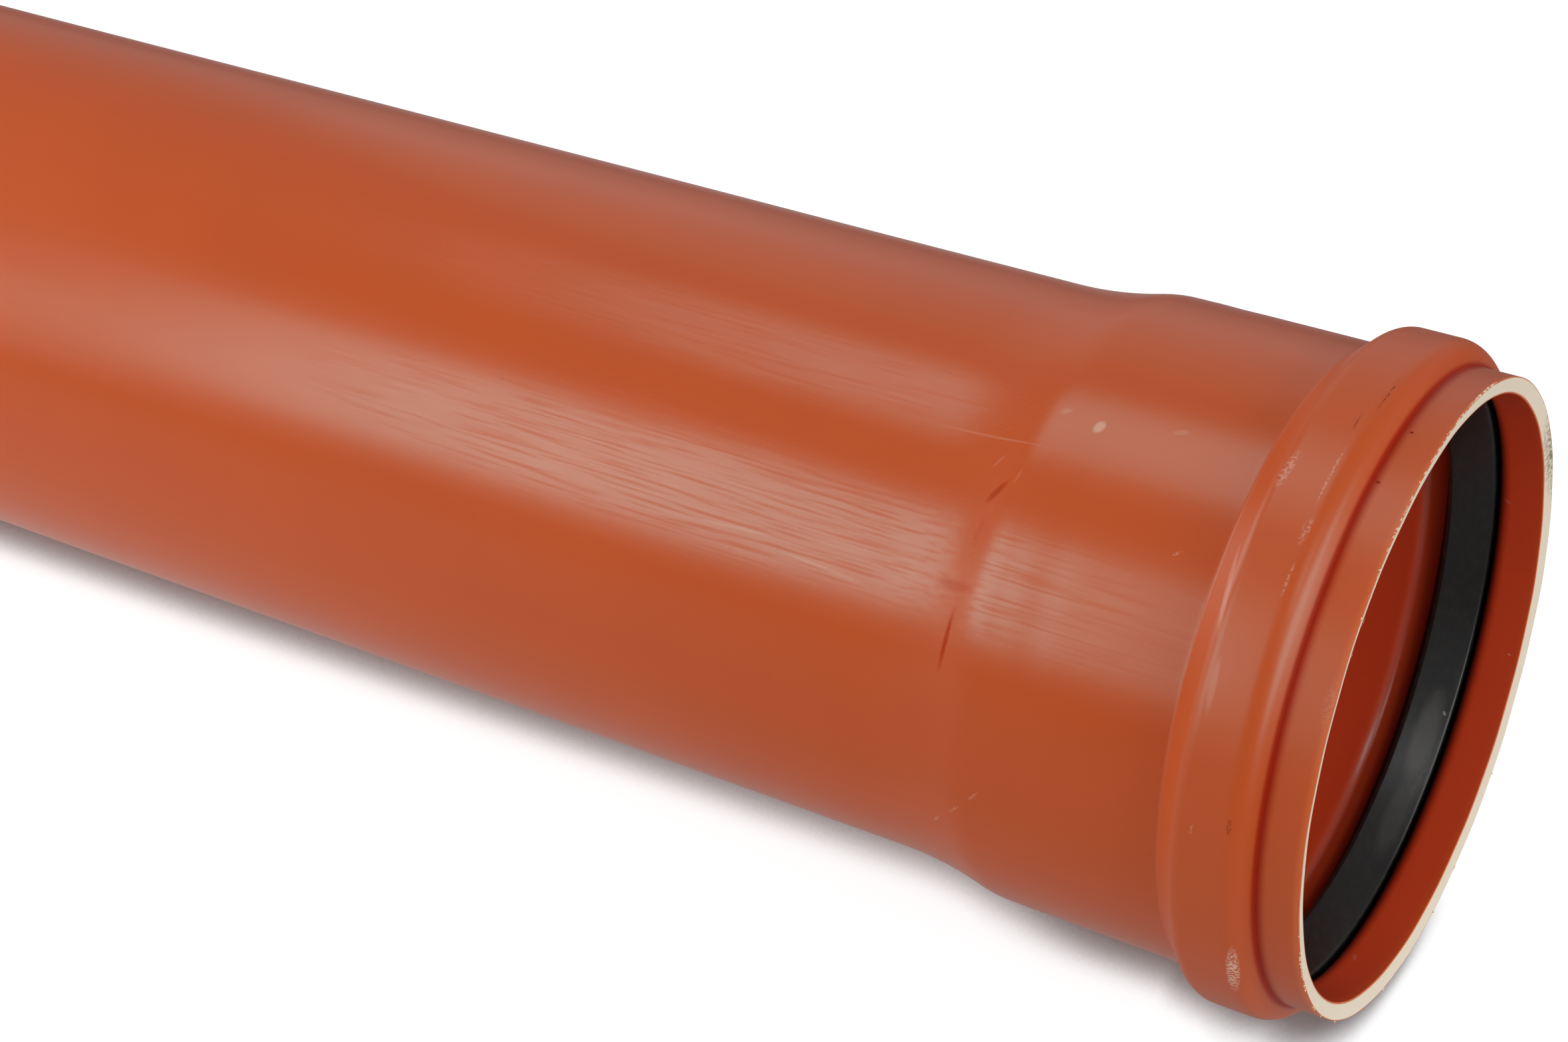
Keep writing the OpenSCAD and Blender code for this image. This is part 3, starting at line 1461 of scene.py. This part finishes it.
@dataclass
class Studio:
    """The pale floor, the soft light and the camera.

    Attributes:
        azimuth: The camera's angle around the pipe from straight in front, in degrees.
        elevation: Its angle above the horizon, in degrees.
        distance: Its distance from what it aims at, in metres.
        aim: The point near the pipe's axis that it aims at, in metres.
        lens: Its focal length on a 36 mm wide sensor, in millimetres.
        room: The brightness of the room around the pipe.
        paper: The floor's colour.
        shade: How much of it the lamps light.
        contact: How close the pipe darkens it, in metres.
        glow: How bright the pipe sees it, below the mouth and below the middle.
        gloss: How bright the pipe's sheen shows it, at the same places.
        falloff: Where it gets darker for the pipe, in metres from the middle.
        floor_size: The floor's side, in metres.
        softboxes: The softboxes.
    """

    azimuth: float = 31.512
    elevation: float = 31.724
    distance: float = 0.8826
    aim: tuple[float, float, float] = (0.35204, 0.0, 0.08262)
    lens: float = 71.27
    room: float = 0.33
    paper: str = "#ffffff"
    shade: str = "#97a3a8"
    contact: float = 0.022
    glow: tuple[float, float] = (0.7, 1.0)
    gloss: tuple[float, float] = (0.3, 0.45)
    falloff: tuple[float, float] = (0.4, 1.1)
    floor_size: float = 12.0
    softboxes: tuple[Softbox, ...] = (
        Softbox("front_softbox", (-0.42, -1.24, 0.77), (-0.42, 0.0, 0.085), 0.78, 0.98, 4.3),
        Softbox("top_softbox", (-0.09, 0.03, 1.5), (-0.09, 0.0, 0.085), 0.8, 0.65, 2.05),
        Softbox("right_softbox", (1.57, -0.68, 1.39), (0.53, 0.0, 0.09), 0.5, 0.5, 3.4),
        Softbox("mouth_softbox", (2.0, -0.15, 0.3), (0.547, 0.0, 0.09), 1.2, 1.2, 4.0),
        Softbox("left_softbox", (-1.9, -0.1, 0.85), (0.1, 0.0, 0.085), 1.1, 1.1, 2.9),
        Softbox("end_softbox", (-2.0, -1.3, 0.5), (0.0, 0.0, 0.085), 2.0, 1.2, 0.8),
        Softbox("back_softbox", (-0.2, 1.7, 1.3), (0.25, 0.0, 0.085), 2.0, 1.6, 0.28),
    )

    def camera(self) -> bpy.types.Object:
        """Sets up the camera.

        Returns:
            The scene's camera.
        """
        azimuth, elevation = math.radians(self.azimuth), math.radians(self.elevation)
        level = math.cos(elevation)
        back = Vector((math.sin(azimuth) * level, -math.cos(azimuth) * level, math.sin(elevation)))
        data = bpy.data.cameras.new("camera")
        data.sensor_fit = "HORIZONTAL"
        data.sensor_width = 36.0
        data.lens = self.lens
        data.clip_start = 0.01
        camera = put_in_scene("camera", data)
        camera.location = Vector(self.aim) + back * self.distance
        camera.rotation_mode = "QUATERNION"
        camera.rotation_quaternion = (-back).to_track_quat("-Z", "Y")
        bpy.context.scene.camera = camera
        return camera

    def floor(self) -> bpy.types.Object:
        """Lays the floor.

        Returns:
            The floor.
        """
        half = self.floor_size / 2
        mesh = bpy.data.meshes.new("floor")
        corners = [(-half, -half, 0), (half, -half, 0), (half, half, 0), (-half, half, 0)]
        mesh.from_pydata(corners, [], [(0, 1, 2, 3)])
        mesh.materials.append(self._paper())
        floor = put_in_scene("floor", mesh)
        return floor

    def _paper(self) -> bpy.types.Material:
        """Makes the floor's white paper.

        The camera sees it white, with the pipe's shadow, and darkest where the pipe nearly touches
        it. The pipe sees it as paper that is lit from the left and falls off away from the set,
        and mirrors it dimmer.

        Returns:
            The material.
        """
        paint = Paint("white_paper_floor")
        path = paint.node("LightPath").outputs
        x = paint.node("SeparateXYZ", {0: paint.place}).outputs["X"]
        away = paint.node("VectorMath", {0: paint.place}, operation="LENGTH").outputs["Value"]
        clear = paint.node("AmbientOcclusion", {"Distance": self.contact}).outputs["AO"]
        # the less open the floor is to the sky, the darker it is
        white = paint.ramp(clear, (0.25, 0.62), (0.02, 0.86), smooth=True)
        bright = paint.node("Emission", {"Color": linear(self.paper), "Strength": white})
        matt = paint.node("BsdfDiffuse", {"Color": linear(self.shade)})
        seen = paint.node("AddShader", {0: bright, 1: matt})
        mouth_to_middle = (0.5, 0.0)
        lit = paint.ramp(x, mouth_to_middle, self.glow, smooth=True)
        mirrored = paint.ramp(x, mouth_to_middle, self.gloss, smooth=True)
        strength = paint.ramp(path["Is Glossy Ray"], (0.0, 1.0), (lit, mirrored))
        strength = paint.product(strength, paint.ramp(away, self.falloff, (1.0, 0.3), smooth=True))
        glow = paint.node("Emission", {"Color": linear(self.paper), "Strength": strength})
        return paint.finished(paint.node("MixShader", {0: path["Is Camera Ray"], 1: glow, 2: seen}))

    def light(self) -> None:
        """Hangs the softboxes and lights the room around them."""
        for softbox in self.softboxes:
            softbox.build()
        world = bpy.data.worlds.new("room")
        world.use_nodes = True
        tree = world.node_tree
        tree.nodes.clear()
        seen = add_node(tree, "LightPath").outputs["Is Camera Ray"]
        strength = add_node(tree, "MapRange", {"Value": seen, "To Min": self.room, "To Max": 1.0})
        background = add_node(tree, "Background", {"Color": linear("#ffffff"), "Strength": strength})
        add_node(tree, "OutputWorld", {"Surface": background})
        bpy.context.scene.world = world
        bpy.context.scene.view_settings.view_transform = "Standard"


def pipe_parts() -> tuple[PipeAxis, PipeWall, SealingRing]:
    """Takes the pipe's place and mating sizes from the frame.

    Returns:
        The pipe's axis, its wall and its sealing ring, not built yet.
    """
    mounts = {mount["name"]: mount for mount in frame["record"]["mounts"]}
    radius = {name: mount["dims"]["r_mm"] for name, mount in mounts.items()}
    low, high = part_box("pipe")
    wall = PipeWall(
        barrel_r=radius["spigot"],
        flow_r=radius["flow_bore"],
        mouth_r=radius["socket_mouth"],
        bead_r=round((high.y - low.y) / 2 / MM, 1),
    )
    flow = mounts["flow_bore"]
    along = Vector(flow["axis"]).normalized()
    spigot_end = Vector(flow["pos_m"]) + along * (flow["dims"]["length_mm"] * MM / 2)
    level = Vector((0, 0, 1))
    up = (level - along * level.dot(along)).normalized()
    axis = PipeAxis(spigot_end - along * (wall.length * MM), along, up)
    return axis, wall, SealingRing(wall, radius["seal_lip"])


def main() -> None:
    """Builds the pipe, its ring and the studio, in that order."""
    logging.basicConfig(level=logging.INFO, format="%(message)s")
    studio = Studio()
    studio.camera()
    axis, wall, ring = pipe_parts()
    for part in (wall, ring, RimBurrs(wall)):
        piece = part.build(axis)
        LOG.info("%s: %d faces", piece.name, len(piece.data.polygons))
    studio.floor()
    studio.light()


if __name__ == "__main__":
    main()
